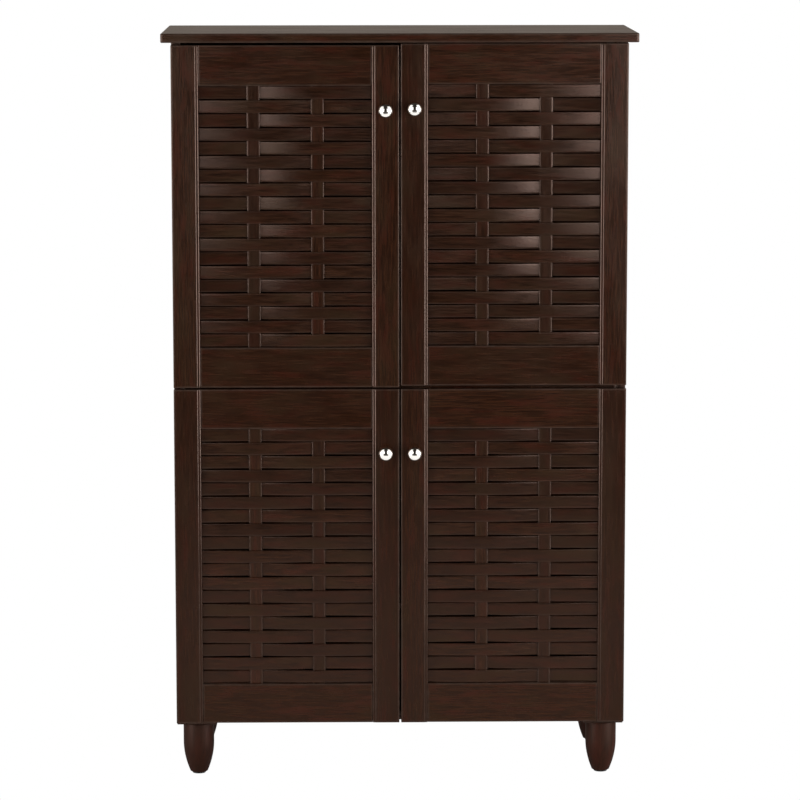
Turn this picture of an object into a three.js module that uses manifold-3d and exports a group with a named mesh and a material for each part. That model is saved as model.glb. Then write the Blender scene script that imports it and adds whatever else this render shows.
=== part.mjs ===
// A tall shoe cabinet with four basket-woven doors on turned feet.
// Millimetres. +X is right, +Y is back, +Z is up, and the doors face -Y.
// The origin is on the floor, at the middle of the cabinet's footprint.

import * as THREE from 'three';
import { mergeVertices } from 'three/addons/utils/BufferGeometryUtils.js';
import Module from 'manifold-3d';

const wasm = await Module();
wasm.setup();

// ---- Driving dimensions ----

const HEIGHT = 1235;
const TOP_WIDTH = 773;
const TOP_DEPTH = 315;
const TOP_THICKNESS = 15;
const BODY_WIDTH = 742;
const FRONT_OVERHANG = 15;
const BOARD = 15;
const SHELF_BOARD = 12;
const BACK_BOARD = 3;
const SIDE_BOTTOM = 87;
const BOTTOM_UNDERSIDE = 95;
const CORNER_BLOCK = 50;
const SHELF_SETBACK = 10;
const SHELF_SLACK = 0.5;
const FIT = 0.1;

const DOOR_WIDTH = 369.5;
const DOOR_HEIGHT = 559;
const DOOR_THICKNESS = 18;
const DOOR_GAP = 1.5;
const LOWER_DOOR_Z = 94.5;
const UPPER_DOOR_Z = 656.5;
const RAISED_DOOR = 2.5;
const STILE_WIDTH = 44.25;
const MOULDING_WIDTH = 8.45;
const MOULDING_DROP = 2.5;
const MOULDING_LIP = 1;
const RAIL_HEIGHT = 65.75;
const RAIL_SETBACK = 2.5;
const GROOVE_WIDTH = 2.8;
const GROOVE_DEPTH = 4;

const ROWS = 19;
const SLAT_WIDTH = 20.7;
const SLAT_THICKNESS = 2.2;
const SLAT_TONGUE = 3.5;
const UPRIGHT_SPACING = 104;
const WEAVE_OFFSET = 2.15;
const WEAVE_FLAT = 12.5;

const KNOB_PROJECTION = 25;
const KNOB_BELOW_TOP = 105;
const KNOB_SIDES = 16;

const FOOT_HEIGHT = SIDE_BOTTOM;
const FOOT_RADIUS = 25.5;
const FOOT_TOE_RADIUS = 13;
const FOOT_TAPER_HEIGHT = 55;
const FOOT_SIDE_INSET = 34.7;
const FOOT_END_INSET = 28;
const FOOT_SIDES = 20;

const CUP_RADIUS = 17.5;
const CUP_DEPTH = 12.7;
const CUP_FROM_EDGE = 22.5;
const HINGE_FROM_END = 75;
const PIN_RADIUS = 1.2;
const PIN_HOLE_RADIUS = 1.55;
const PIN_SIDES = 10;
const CUP_SIDES = 20;
const BORE_SIDES = 24;
const BARREL_SIDES = 12;
const BARREL_RADIUS = 2.6;
const LEVER_HALF_WIDTH = 4.5;
const FORK_HALF_WIDTH = 6.8;
const LEVER_BOW = 5;
const LEVER_THICKNESS = 2.2;
const LEVER_STEPS = 8;
const ARM_FRONT = 14;
const ARM_BACK = 62;
const ARM_NEAR = 5;
const ARM_FAR = 16.5;
const ARM_NOSE_STEPS = 6;
const FORK_FLOOR = 0.5;

// ---- Worked-out positions ----

const BACK_Y = (TOP_DEPTH + KNOB_PROJECTION - FRONT_OVERHANG) / 2;
const DOOR_FRONT_Y = BACK_Y - TOP_DEPTH + FRONT_OVERHANG;
const CARCASS_FRONT_Y = DOOR_FRONT_Y + DOOR_THICKNESS + DOOR_GAP;
const BACK_BOARD_Y = BACK_Y - BACK_BOARD;
const TOP_UNDERSIDE = HEIGHT - TOP_THICKNESS;
const INNER_HALF_WIDTH = BODY_WIDTH / 2 - BOARD;
const BOTTOM_TOP = BOTTOM_UNDERSIDE + BOARD;
const MIDDLE_Z = (LOWER_DOOR_Z + DOOR_HEIGHT + UPPER_DOOR_Z) / 2;
const OPENING_WIDTH = DOOR_WIDTH - 2 * STILE_WIDTH;
const OPENING_HEIGHT = DOOR_HEIGHT - 2 * RAIL_HEIGHT;
const ROW_PITCH = OPENING_HEIGHT / ROWS;

// Hinge pivots, from the inner front corner of the side panel: x goes into the cabinet, y goes back.
const FIXED_PIVOT = { x: 17.5, y: -5 };
const MOVING_PIVOT = { x: -4, y: -5 };
const CUP_CENTRE_X = CUP_FROM_EDGE - BOARD;

// ---- Materials ----

function darkWood() {
  return new THREE.MeshStandardMaterial({ color: 0x301e16, roughness: 0.42, metalness: 0 });
}

function turnedWood() {
  return new THREE.MeshStandardMaterial({ color: 0x34201a, roughness: 0.38, metalness: 0 });
}

function backBoard() {
  return new THREE.MeshStandardMaterial({ color: 0x2b1c15, roughness: 0.7, metalness: 0 });
}

function polishedNickel() {
  return new THREE.MeshStandardMaterial({ color: 0xd8d6d2, roughness: 0.08, metalness: 1 });
}

function platedSteel() {
  return new THREE.MeshStandardMaterial({ color: 0xb4b5b4, roughness: 0.28, metalness: 1 });
}

// ---- Geometry helpers ----

// Six times the volume inside a closed mesh; negative when the faces point inwards.
function signedVolume(position, index) {
  const a = new THREE.Vector3();
  const b = new THREE.Vector3();
  const c = new THREE.Vector3();
  let total = 0;
  for (let i = 0; i < index.length; i += 3) {
    a.fromBufferAttribute(position, index[i]);
    b.fromBufferAttribute(position, index[i + 1]);
    c.fromBufferAttribute(position, index[i + 2]);
    total += a.dot(b.cross(c));
  }
  return total;
}

// Shares the vertices, drops triangles that have shrunk to a line, and turns the faces outwards.
function closed(geometry) {
  geometry.deleteAttribute('normal');
  geometry.deleteAttribute('uv');
  const merged = mergeVertices(geometry, 1e-4);
  const old = merged.index.array;
  const kept = [];
  for (let i = 0; i < old.length; i += 3) {
    const [a, b, c] = [old[i], old[i + 1], old[i + 2]];
    if (a !== b && b !== c && c !== a) kept.push(a, b, c);
  }
  if (signedVolume(merged.attributes.position, kept) < 0) kept.reverse();
  merged.setIndex(kept);
  return merged;
}

function toSolid(geometry) {
  const clean = closed(geometry);
  return new wasm.Manifold(new wasm.Mesh({
    numProp: 3,
    vertProperties: new Float32Array(clean.attributes.position.array),
    triVerts: new Uint32Array(clean.index.array),
  }));
}

function toGeometry(solid) {
  const mesh = solid.getMesh();
  const geometry = new THREE.BufferGeometry();
  geometry.setAttribute('position', new THREE.BufferAttribute(mesh.vertProperties, 3));
  geometry.setIndex(new THREE.BufferAttribute(mesh.triVerts, 1));
  return geometry;
}

// A box between two opposite corners.
function block([x0, y0, z0], [x1, y1, z1]) {
  const geometry = new THREE.BoxGeometry(Math.abs(x1 - x0), Math.abs(y1 - y0), Math.abs(z1 - z0));
  return geometry.translate((x0 + x1) / 2, (y0 + y1) / 2, (z0 + z1) / 2);
}

// An outline in X and Y carried from z0 up to z1.
function upright(points, z0, z1) {
  const shape = new THREE.Shape(points.map(([x, y]) => new THREE.Vector2(x, y)));
  const geometry = new THREE.ExtrudeGeometry(shape, { depth: z1 - z0, bevelEnabled: false });
  return geometry.translate(0, 0, z0);
}

// A round bar along Z.
function barAlongZ(radius, z0, z1, x, y, sides) {
  const geometry = new THREE.CylinderGeometry(radius, radius, z1 - z0, sides).rotateX(Math.PI / 2);
  return geometry.translate(x, y, (z0 + z1) / 2);
}

function turned(profile, sides) {
  return closed(new THREE.LatheGeometry(profile.map(([r, y]) => new THREE.Vector2(r, y)), sides));
}

const cabinet = new THREE.Group();

function addMesh(group, name, geometry, material, x = 0, y = 0, z = 0) {
  const mesh = new THREE.Mesh(geometry, material);
  mesh.name = name;
  mesh.position.set(x, y, z);
  group.add(mesh);
  return mesh;
}

// ---- Case ----

function addTopPanel() {
  const half = TOP_WIDTH / 2;
  const panel = block([-half, BACK_Y - TOP_DEPTH, TOP_UNDERSIDE], [half, BACK_Y, HEIGHT]);
  addMesh(cabinet, 'top_panel', panel, darkWood());
}

function addSidePanel(name, side) {
  const outer = side * BODY_WIDTH / 2;
  const inner = side * INNER_HALF_WIDTH;
  const panel = block([inner, CARCASS_FRONT_Y, SIDE_BOTTOM + FIT],
    [outer, BACK_BOARD_Y - FIT, TOP_UNDERSIDE - FIT]);
  addMesh(cabinet, name, panel, darkWood());
}

// The floor of the cabinet, with a glued block under each corner that a foot screws into.
function addBottomPanel() {
  const half = INNER_HALF_WIDTH - FIT;
  const back = BACK_BOARD_Y - FIT;
  let solid = toSolid(block([-half, CARCASS_FRONT_Y, BOTTOM_UNDERSIDE], [half, back, BOTTOM_TOP]));
  for (const side of [-1, 1]) {
    for (const edge of [CARCASS_FRONT_Y + 1, back - 1 - CORNER_BLOCK]) {
      const corner = block([side * (half - CORNER_BLOCK), edge, SIDE_BOTTOM + FIT],
        [side * half, edge + CORNER_BLOCK, BOTTOM_UNDERSIDE + 1]);
      solid = solid.add(toSolid(corner));
    }
  }
  addMesh(cabinet, 'bottom_panel', toGeometry(solid), darkWood());
}

function addShelf(name, middle, thickness, front, slack) {
  const half = INNER_HALF_WIDTH - slack;
  const shelf = block([-half, front, middle - thickness / 2],
    [half, BACK_BOARD_Y - slack, middle + thickness / 2]);
  addMesh(cabinet, name, shelf, darkWood());
}

function addBackPanel(name, low, high) {
  const half = BODY_WIDTH / 2 - 1;
  addMesh(cabinet, name, block([-half, BACK_BOARD_Y, low], [half, BACK_Y, high]), backBoard());
}

// The adjustable shelves share each half of the cabinet into equal tiers.
function addAdjustableShelves(half, low, high) {
  const tier = (high - low - 2 * SHELF_BOARD) / 3;
  for (const number of [1, 2]) {
    const middle = low + number * tier + (number - 0.5) * SHELF_BOARD;
    const front = CARCASS_FRONT_Y + SHELF_SETBACK;
    addShelf(`shelf_${half}_${number}`, middle, SHELF_BOARD, front, SHELF_SLACK);
  }
}

// A turned foot: straight above, then tapering to the toe along a parabola.
function addFoot(name, x, y) {
  const profile = [[0, 0], [FOOT_TOE_RADIUS - 1.5, 0]];
  for (const z of [2.5, 9, 18, 30, 42, FOOT_TAPER_HEIGHT]) {
    const rest = 1 - z / FOOT_TAPER_HEIGHT;
    profile.push([FOOT_RADIUS - (FOOT_RADIUS - FOOT_TOE_RADIUS) * rest * rest, z]);
  }
  profile.push([FOOT_RADIUS, FOOT_HEIGHT - 2], [FOOT_RADIUS - 2, FOOT_HEIGHT], [0, FOOT_HEIGHT]);
  const foot = addMesh(cabinet, name, turned(profile, FOOT_SIDES), turnedWood(), x, y, 0);
  foot.rotation.x = Math.PI / 2;
}

// ---- Doors ----

// A stile's section: a flat face, a sloping moulding on the inner edge, and the slat groove.
function stileSection() {
  const face = STILE_WIDTH - MOULDING_WIDTH;
  const middle = DOOR_THICKNESS / 2;
  const lip = GROOVE_WIDTH / 2;
  return [
    [0, 0],
    [face, 0],
    [STILE_WIDTH - MOULDING_LIP, MOULDING_DROP],
    [STILE_WIDTH, MOULDING_DROP + MOULDING_LIP],
    [STILE_WIDTH, middle - lip],
    [STILE_WIDTH - GROOVE_DEPTH, middle - lip],
    [STILE_WIDTH - GROOVE_DEPTH, middle + lip],
    [STILE_WIDTH, middle + lip],
    [STILE_WIDTH, DOOR_THICKNESS],
    [0, DOOR_THICKNESS],
  ];
}

// A rail's section in Y and Z, grooved along its top edge, and thinner than the stiles.
function railSection(grooveAtTop) {
  const middle = DOOR_THICKNESS / 2;
  const lip = GROOVE_WIDTH / 2;
  const points = [
    [RAIL_SETBACK, 0],
    [DOOR_THICKNESS - RAIL_SETBACK, 0],
    [DOOR_THICKNESS - RAIL_SETBACK, RAIL_HEIGHT],
    [middle + lip, RAIL_HEIGHT],
    [middle + lip, RAIL_HEIGHT - GROOVE_DEPTH],
    [middle - lip, RAIL_HEIGHT - GROOVE_DEPTH],
    [middle - lip, RAIL_HEIGHT],
    [RAIL_SETBACK, RAIL_HEIGHT],
  ];
  return grooveAtTop ? points : points.map(([y, z]) => [y, RAIL_HEIGHT - z]);
}

// The blind hole for a hinge cup, sunk from the back of the door.
function cupBore(x, z) {
  const depth = CUP_DEPTH + 1;
  const bore = new THREE.CylinderGeometry(CUP_RADIUS, CUP_RADIUS, depth, BORE_SIDES);
  return bore.translate(x, DOOR_THICKNESS - CUP_DEPTH + depth / 2, z);
}

function addStile(door, name, start, direction, bores) {
  const points = stileSection().map(([u, v]) => [start + direction * u, v]);
  let solid = toSolid(upright(points, 0, DOOR_HEIGHT));
  for (const [x, z] of bores) solid = solid.subtract(toSolid(cupBore(x, z)));
  addMesh(door, name, toGeometry(solid), darkWood());
}

function addRail(door, name, left, bottom, grooveAtTop) {
  const length = OPENING_WIDTH - 2 * FIT;
  const rail = closed(upright(railSection(grooveAtTop), 0, length));
  const mesh = addMesh(door, name, rail, darkWood(), left + FIT, 0, bottom);
  const yAxis = new THREE.Vector3(0, 1, 0);
  const zAxis = new THREE.Vector3(0, 0, 1);
  const xAxis = new THREE.Vector3(1, 0, 0);
  mesh.quaternion.setFromRotationMatrix(new THREE.Matrix4().makeBasis(yAxis, zAxis, xAxis));
}

// One horizontal slat: behind one upright slat and in front of the other, with straight runs between.
function wovenSlat(behindFirst, low) {
  const middle = DOOR_THICKNESS / 2;
  const half = SLAT_THICKNESS / 2;
  const shift = behindFirst ? WEAVE_OFFSET : -WEAVE_OFFSET;
  const first = (OPENING_WIDTH - UPRIGHT_SPACING) / 2;
  const second = first + UPRIGHT_SPACING;
  const path = [
    [-SLAT_TONGUE, middle],
    [first - WEAVE_FLAT, middle + shift],
    [first + WEAVE_FLAT, middle + shift],
    [second - WEAVE_FLAT, middle - shift],
    [second + WEAVE_FLAT, middle - shift],
    [OPENING_WIDTH + SLAT_TONGUE, middle],
  ];
  const front = path.map(([x, y]) => [x, y - half]);
  const back = path.map(([x, y]) => [x, y + half]).reverse();
  return upright([...front, ...back], low, low + SLAT_WIDTH);
}

// Nineteen horizontal slats basket-woven through two straight upright slats.
function addWovenPanel(door, name, left, topRowBehindFirst) {
  const middle = DOOR_THICKNESS / 2;
  let solid = null;
  for (const sign of [-1, 1]) {
    const centre = OPENING_WIDTH / 2 + sign * UPRIGHT_SPACING / 2;
    const slat = toSolid(block(
      [centre - SLAT_WIDTH / 2, middle - SLAT_THICKNESS / 2, -SLAT_TONGUE],
      [centre + SLAT_WIDTH / 2, middle + SLAT_THICKNESS / 2, OPENING_HEIGHT + SLAT_TONGUE],
    ));
    solid = solid ? solid.add(slat) : slat;
  }
  for (let row = 0; row < ROWS; row += 1) {
    const low = OPENING_HEIGHT - (row + 1) * ROW_PITCH + (ROW_PITCH - SLAT_WIDTH) / 2;
    const behindFirst = (row % 2 === 0) === topRowBehindFirst;
    solid = solid.add(toSolid(wovenSlat(behindFirst, low)));
  }
  addMesh(door, name, toGeometry(solid), darkWood(), left, 0, RAIL_HEIGHT);
}

// A round knob with a domed head on a waisted neck, turned about Y.
function addKnob(door, name, x, z) {
  const profile = [
    [0, -KNOB_PROJECTION],
    [5.2, 0.4 - KNOB_PROJECTION],
    [9.2, 2.2 - KNOB_PROJECTION],
    [11.2, 5 - KNOB_PROJECTION],
    [11.5, 7.2 - KNOB_PROJECTION],
    [10.6, 9.8 - KNOB_PROJECTION],
    [6.5, 12 - KNOB_PROJECTION],
    [4.4, 15.5 - KNOB_PROJECTION],
    [4.6, -3],
    [7, -1.6],
    [7, -FIT],
    [0, -FIT],
  ];
  addMesh(door, name, turned(profile, KNOB_SIDES), polishedNickel(), x, 0, z);
}

// The hinge cup: a flanged steel pot in the door, crossed by the pin that the lever turns on.
function addCup(door, name, inward, x, z) {
  const wall = CUP_RADIUS - 0.3;
  const inside = wall - 0.8;
  const floor = 0.3 - CUP_DEPTH;
  const profile = [
    [0, floor],
    [wall, floor],
    [wall, FIT],
    [wall + 2.3, FIT],
    [wall + 2.3, 1],
    [inside, 1],
    [inside, floor + 1],
    [0, floor + 1],
  ];
  const pinX = MOVING_PIVOT.x - CUP_CENTRE_X;
  const pinSide = Math.abs(pinX) + PIN_RADIUS;
  const reach = Math.sqrt(wall * wall - pinSide * pinSide) - 0.4;
  const pinY = MOVING_PIVOT.y + DOOR_GAP;
  const pot = toSolid(turned(profile, CUP_SIDES));
  const pin = toSolid(barAlongZ(PIN_RADIUS, -reach, reach, inward * pinX, pinY, PIN_SIDES));
  addMesh(door, name, toGeometry(pot.add(pin)), platedSteel(), x, DOOR_THICKNESS, z);
}

function addDoor(half, side, z, topRowBehindFirst) {
  const tag = `${half}_${side < 0 ? 'left' : 'right'}`;
  const inward = -side;
  const door = new THREE.Group();
  door.position.set(side * BODY_WIDTH / 2, DOOR_FRONT_Y, z);
  cabinet.add(door);

  const across = (u) => inward * u;
  const openingLeft = Math.min(across(STILE_WIDTH), across(DOOR_WIDTH - STILE_WIDTH));
  const hinges = { bottom: HINGE_FROM_END, top: DOOR_HEIGHT - HINGE_FROM_END };
  const bores = Object.values(hinges).map((height) => [across(CUP_FROM_EDGE), height]);

  addStile(door, `hinge_stile_${tag}`, 0, inward, bores);
  addStile(door, `meeting_stile_${tag}`, across(DOOR_WIDTH), -inward, []);
  addRail(door, `top_rail_${tag}`, openingLeft, DOOR_HEIGHT - RAIL_HEIGHT, false);
  addRail(door, `bottom_rail_${tag}`, openingLeft, 0, true);
  addWovenPanel(door, `woven_panel_${tag}`, openingLeft, topRowBehindFirst);
  addKnob(door, `knob_${tag}`, across(DOOR_WIDTH - STILE_WIDTH / 2), DOOR_HEIGHT - KNOB_BELOW_TOP);
  for (const [end, height] of Object.entries(hinges)) {
    addCup(door, `hinge_cup_${tag}_${end}`, inward, across(CUP_FROM_EDGE), height);
    addHingeArm(`hinge_arm_${tag}_${end}`, side, z + height);
  }
  addHingeLever(`hinge_lever_${tag}`, side, z + hinges.top);
}

// ---- Hinges ----

// A hinge's fixed arm: a mounting plate on the side panel, a slim body, and a fork that holds a pin.
function addHingeArm(name, side, z) {
  const inward = -side;
  const nose = BARREL_RADIUS + 0.6;
  const { x: px, y: py } = FIXED_PIVOT;
  const outline = [];
  for (let step = 0; step <= ARM_NOSE_STEPS; step += 1) {
    const angle = Math.PI + step * Math.PI / ARM_NOSE_STEPS;
    outline.push([px + nose * Math.cos(angle), py + nose * Math.sin(angle)]);
  }
  outline.push([px + nose, ARM_FRONT - 8], [ARM_FAR, ARM_FRONT], [ARM_FAR, ARM_BACK],
    [ARM_NEAR, ARM_BACK], [ARM_NEAR, ARM_FRONT + 2], [px - nose, ARM_FRONT - 11]);
  const flip = (points) => points.map(([x, y]) => [inward * x, y]);
  const body = upright(flip(outline), -FORK_HALF_WIDTH, FORK_HALF_WIDTH);
  const gap = LEVER_HALF_WIDTH + 0.3;
  const slot = block([inward * (px - 8), py - 8, -gap], [inward * (px + 8), FORK_FLOOR, gap]);
  const base = block([inward * FIT, 20, -10], [inward * 5.5, 56, 10]);
  const wings = block([inward * FIT, 28, -24], [inward * 2.4, 46, 24]);
  const reach = FORK_HALF_WIDTH - 0.5;
  const pin = barAlongZ(PIN_RADIUS, -reach, reach, inward * px, py, PIN_SIDES);
  const solid = toSolid(body).subtract(toSolid(slot)).add(toSolid(base)).add(toSolid(wings))
    .add(toSolid(pin));
  const x = side * INNER_HALF_WIDTH;
  addMesh(cabinet, name, toGeometry(solid), platedSteel(), x, CARCASS_FRONT_Y, z);
}

// The curved lever between the arm's pin and the cup's pin, bowed to pass round the door's edge.
function addHingeLever(name, side, z) {
  const inward = -side;
  const chord = FIXED_PIVOT.x - MOVING_PIVOT.x;
  const radius = (chord * chord / 4 + LEVER_BOW * LEVER_BOW) / (2 * LEVER_BOW);
  const centreX = (FIXED_PIVOT.x + MOVING_PIVOT.x) / 2;
  const centreY = FIXED_PIVOT.y - LEVER_BOW + radius;
  const spread = Math.asin(chord / 2 / radius);
  const inner = [];
  const outer = [];
  for (let step = 0; step <= LEVER_STEPS; step += 1) {
    const angle = -Math.PI / 2 - spread + 2 * spread * step / LEVER_STEPS;
    const point = (r) => [inward * (centreX + r * Math.cos(angle)), centreY + r * Math.sin(angle)];
    outer.push(point(radius + LEVER_THICKNESS / 2));
    inner.push(point(radius - LEVER_THICKNESS / 2));
  }
  const width = LEVER_HALF_WIDTH;
  let solid = toSolid(upright([...outer, ...inner.reverse()], -width, width));
  for (const pivot of [FIXED_PIVOT, MOVING_PIVOT]) {
    const barrel = barAlongZ(BARREL_RADIUS, -width, width, inward * pivot.x, pivot.y, BARREL_SIDES);
    solid = solid.add(toSolid(barrel));
  }
  for (const pivot of [FIXED_PIVOT, MOVING_PIVOT]) {
    const hole = barAlongZ(PIN_HOLE_RADIUS, -width - 1, width + 1, inward * pivot.x, pivot.y,
      PIN_SIDES);
    solid = solid.subtract(toSolid(hole));
  }
  const x = side * INNER_HALF_WIDTH;
  addMesh(cabinet, name, toGeometry(solid), platedSteel(), x, CARCASS_FRONT_Y, z);
}

// ---- Assembly ----

addTopPanel();
addSidePanel('side_panel_left', -1);
addSidePanel('side_panel_right', 1);
addBottomPanel();
addShelf('fixed_shelf', MIDDLE_Z, BOARD, CARCASS_FRONT_Y, FIT);
addAdjustableShelves('lower', BOTTOM_TOP, MIDDLE_Z - BOARD / 2);
addAdjustableShelves('upper', MIDDLE_Z + BOARD / 2, TOP_UNDERSIDE);
addBackPanel('back_panel_lower', BOTTOM_UNDERSIDE, MIDDLE_Z - 0.25);
addBackPanel('back_panel_upper', MIDDLE_Z + 0.25, TOP_UNDERSIDE - FIT);

for (const [sideName, side] of [['left', -1], ['right', 1]]) {
  const x = side * (BODY_WIDTH / 2 - FOOT_SIDE_INSET);
  addFoot(`foot_front_${sideName}`, x, CARCASS_FRONT_Y + FOOT_END_INSET);
  addFoot(`foot_rear_${sideName}`, x, BACK_BOARD_Y - FOOT_END_INSET);
}

// The upper right door is hung a little higher than its neighbour, and the lower right door's
// weave starts with the other crossing.
addDoor('upper', -1, UPPER_DOOR_Z, true);
addDoor('upper', 1, UPPER_DOOR_Z + RAISED_DOOR, true);
addDoor('lower', -1, LOWER_DOOR_Z, true);
addDoor('lower', 1, LOWER_DOOR_Z, false);

export default cabinet;
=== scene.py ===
"""A tall shoe cabinet with four basket-woven doors on turned feet.

+X is right, +Y is back, +Z is up, and the doors face -Y. The pieces are worked out in millimetres,
which closed_mesh turns into metres; the studio and the patterns of the materials are in metres.
Positions come from the boxes of the CAD nodes.
"""
import math

import bpy
import numpy as np
from mathutils import Matrix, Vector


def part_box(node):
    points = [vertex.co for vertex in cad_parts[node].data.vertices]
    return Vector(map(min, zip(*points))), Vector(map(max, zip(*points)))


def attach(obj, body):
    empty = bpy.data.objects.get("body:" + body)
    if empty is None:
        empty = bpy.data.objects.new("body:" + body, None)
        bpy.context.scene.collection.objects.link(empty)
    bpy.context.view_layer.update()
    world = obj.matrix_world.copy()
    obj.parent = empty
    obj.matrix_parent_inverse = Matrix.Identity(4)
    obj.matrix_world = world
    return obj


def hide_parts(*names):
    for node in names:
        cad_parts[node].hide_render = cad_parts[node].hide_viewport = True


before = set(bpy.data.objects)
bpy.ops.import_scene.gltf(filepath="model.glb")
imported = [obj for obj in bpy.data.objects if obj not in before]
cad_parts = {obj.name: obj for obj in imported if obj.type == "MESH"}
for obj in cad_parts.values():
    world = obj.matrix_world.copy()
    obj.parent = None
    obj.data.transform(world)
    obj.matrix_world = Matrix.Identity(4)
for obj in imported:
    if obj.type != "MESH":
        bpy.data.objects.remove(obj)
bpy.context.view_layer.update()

MM = 0.001
DRAW = np.random.default_rng(4127)

# ---- Camera, first, so that it never waits for the pieces ----

CAMERA_PLACE = (-0.0969, -6.0709, 1.4979)
CAMERA_TURN = 0.01629
CAMERA_PITCH = 0.14429
CAMERA_ROLL = -0.00064
CAMERA_LENS = 164.6
SENSOR = 36.0


def add_camera():
    data = bpy.data.cameras.new("camera")
    data.lens = CAMERA_LENS
    data.sensor_width = SENSOR
    data.clip_end = 100.0
    camera = bpy.data.objects.new("camera", data)
    bpy.context.scene.collection.objects.link(camera)
    turn = Matrix.Rotation(-CAMERA_TURN, 4, "Z")
    pitch = Matrix.Rotation(math.pi / 2 - CAMERA_PITCH, 4, "X")
    roll = Matrix.Rotation(CAMERA_ROLL, 4, "Z")
    camera.matrix_world = Matrix.Translation(CAMERA_PLACE) @ turn @ pitch @ roll
    bpy.context.scene.camera = camera


add_camera()

# ---- Node helpers ----


def node(tree, kind, settings=None, **inputs):
    """Adds a shader node. Underscores in an input's name stand for spaces, and _2 picks input 2."""
    made = tree.nodes.new(kind)
    for key, value in (settings or {}).items():
        setattr(made, key, value)
    for key, value in inputs.items():
        socket = made.inputs[int(key[1:])] if key[1:].isdigit() else made.inputs[key.replace("_", " ")]
        if isinstance(value, bpy.types.NodeSocket):
            tree.links.new(value, socket)
        else:
            socket.default_value = value
    return made


def math_node(tree, operation, a, b=0.0, c=0.0):
    return node(tree, "ShaderNodeMath", {"operation": operation}, _0=a, _1=b, _2=c).outputs[0]


def vector_node(tree, operation, a, b):
    return node(tree, "ShaderNodeVectorMath", {"operation": operation}, _0=a, _1=b).outputs[0]


def map_range(tree, value, low, high, to_low=0.0, to_high=1.0):
    made = node(tree, "ShaderNodeMapRange", {"clamp": True}, Value=value, From_Min=low, From_Max=high,
                To_Min=to_low, To_Max=to_high)
    return made.outputs["Result"]


def mix_colour(tree, factor, first, second, blend="MIX"):
    made = node(tree, "ShaderNodeMix", {"data_type": "RGBA", "blend_type": blend})
    for socket, value in ((made.inputs[0], factor), (made.inputs[6], first), (made.inputs[7], second)):
        if isinstance(value, bpy.types.NodeSocket):
            tree.links.new(value, socket)
        else:
            socket.default_value = value
    return made.outputs[2]


def noise(tree, vector, detail=2.0, roughness=0.5):
    made = node(tree, "ShaderNodeTexNoise", Vector=vector, Scale=1.0, Detail=detail, Roughness=roughness)
    return made.outputs[0]


def new_group(name, inputs, outputs):
    """A shader node group with named sockets; returns its tree, its input node and its output node."""
    tree = bpy.data.node_groups.new(name, "ShaderNodeTree")
    for label, kind in inputs:
        tree.interface.new_socket(label, in_out="INPUT", socket_type=kind)
    for label, kind in outputs:
        tree.interface.new_socket(label, in_out="OUTPUT", socket_type=kind)
    return tree, tree.nodes.new("NodeGroupInput"), tree.nodes.new("NodeGroupOutput")


VALUE, COLOUR, VECTOR = "NodeSocketFloat", "NodeSocketColor", "NodeSocketVector"

# ---- Shared effects ----


# Noise cells to the metre, along the grain and then twice across it.
STREAK_CELLS = (26, 420, 420)
PORE_CELLS = (60, 1500, 1500)
BROAD_CELLS = (9, 30, 30)
HUE_CELLS = (16, 75, 75)
RIPPLE_CELLS = (260, 330, 330)
# Noise cells to the metre, along X, Y and Z.
WORN_CELLS = (60, 60, 60)
SPECK_CELLS = (900, 900, 900)
CLOUD_CELLS = (9, 9, 14)
# How far the grain moves, in metres, for a piece number of 1.
PIECE_SHIFT = (3.1, 1.7, 2.3)


def scaled_noise(tree, vector, cells, detail, roughness):
    return noise(tree, vector_node(tree, "MULTIPLY", vector, cells), detail, roughness)


def make_grain_group():
    """Stained fine-grained wood. The vector's X runs along the grain, in metres."""
    tree, given, out = new_group(
        "stained_grain",
        [("Vector", VECTOR), ("Piece", VALUE), ("Stain", COLOUR), ("Deep Stain", COLOUR),
         ("Warm Stain", COLOUR), ("Olive Stain", COLOUR)],
        [("Color", COLOUR), ("Height", VALUE), ("Ripple", VALUE), ("Sheen", VALUE)])
    shift = vector_node(tree, "SCALE", PIECE_SHIFT, (0, 0, 0))
    tree.links.new(given.outputs["Piece"], shift.node.inputs["Scale"])
    place = vector_node(tree, "ADD", given.outputs["Vector"], shift)
    streaks = scaled_noise(tree, place, STREAK_CELLS, 3.0, 0.62)
    fine = scaled_noise(tree, place, PORE_CELLS, 2.0, 0.6)
    broad = scaled_noise(tree, place, BROAD_CELLS, 2.0, 0.5)
    hue = scaled_noise(tree, place, HUE_CELLS, 2.0, 0.5)
    tone = map_range(tree, streaks, 0.33, 0.68)
    pores = map_range(tree, fine, 0.56, 0.72)
    colour = mix_colour(tree, tone, given.outputs["Deep Stain"], given.outputs["Stain"])
    warm = map_range(tree, hue, 0.48, 0.68, 0.0, 0.75)
    colour = mix_colour(tree, warm, colour, given.outputs["Warm Stain"])
    olive = map_range(tree, broad, 0.5, 0.7, 0.0, 0.6)
    colour = mix_colour(tree, olive, colour, given.outputs["Olive Stain"])
    dark = map_range(tree, pores, 0.0, 1.0, 1.0, 0.5)
    colour = mix_colour(tree, 1.0, colour, dark, "MULTIPLY")
    height = math_node(tree, "MULTIPLY_ADD", streaks, 0.5, math_node(tree, "MULTIPLY", pores, -0.6))
    sheen = math_node(tree, "MULTIPLY_ADD", broad, 0.5, math_node(tree, "MULTIPLY", streaks, 0.5))
    tree.links.new(colour, out.inputs["Color"])
    tree.links.new(height, out.inputs["Height"])
    tree.links.new(sheen, out.inputs["Sheen"])
    tree.links.new(scaled_noise(tree, place, RIPPLE_CELLS, 2.0, 0.6), out.inputs["Ripple"])
    return tree


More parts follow.
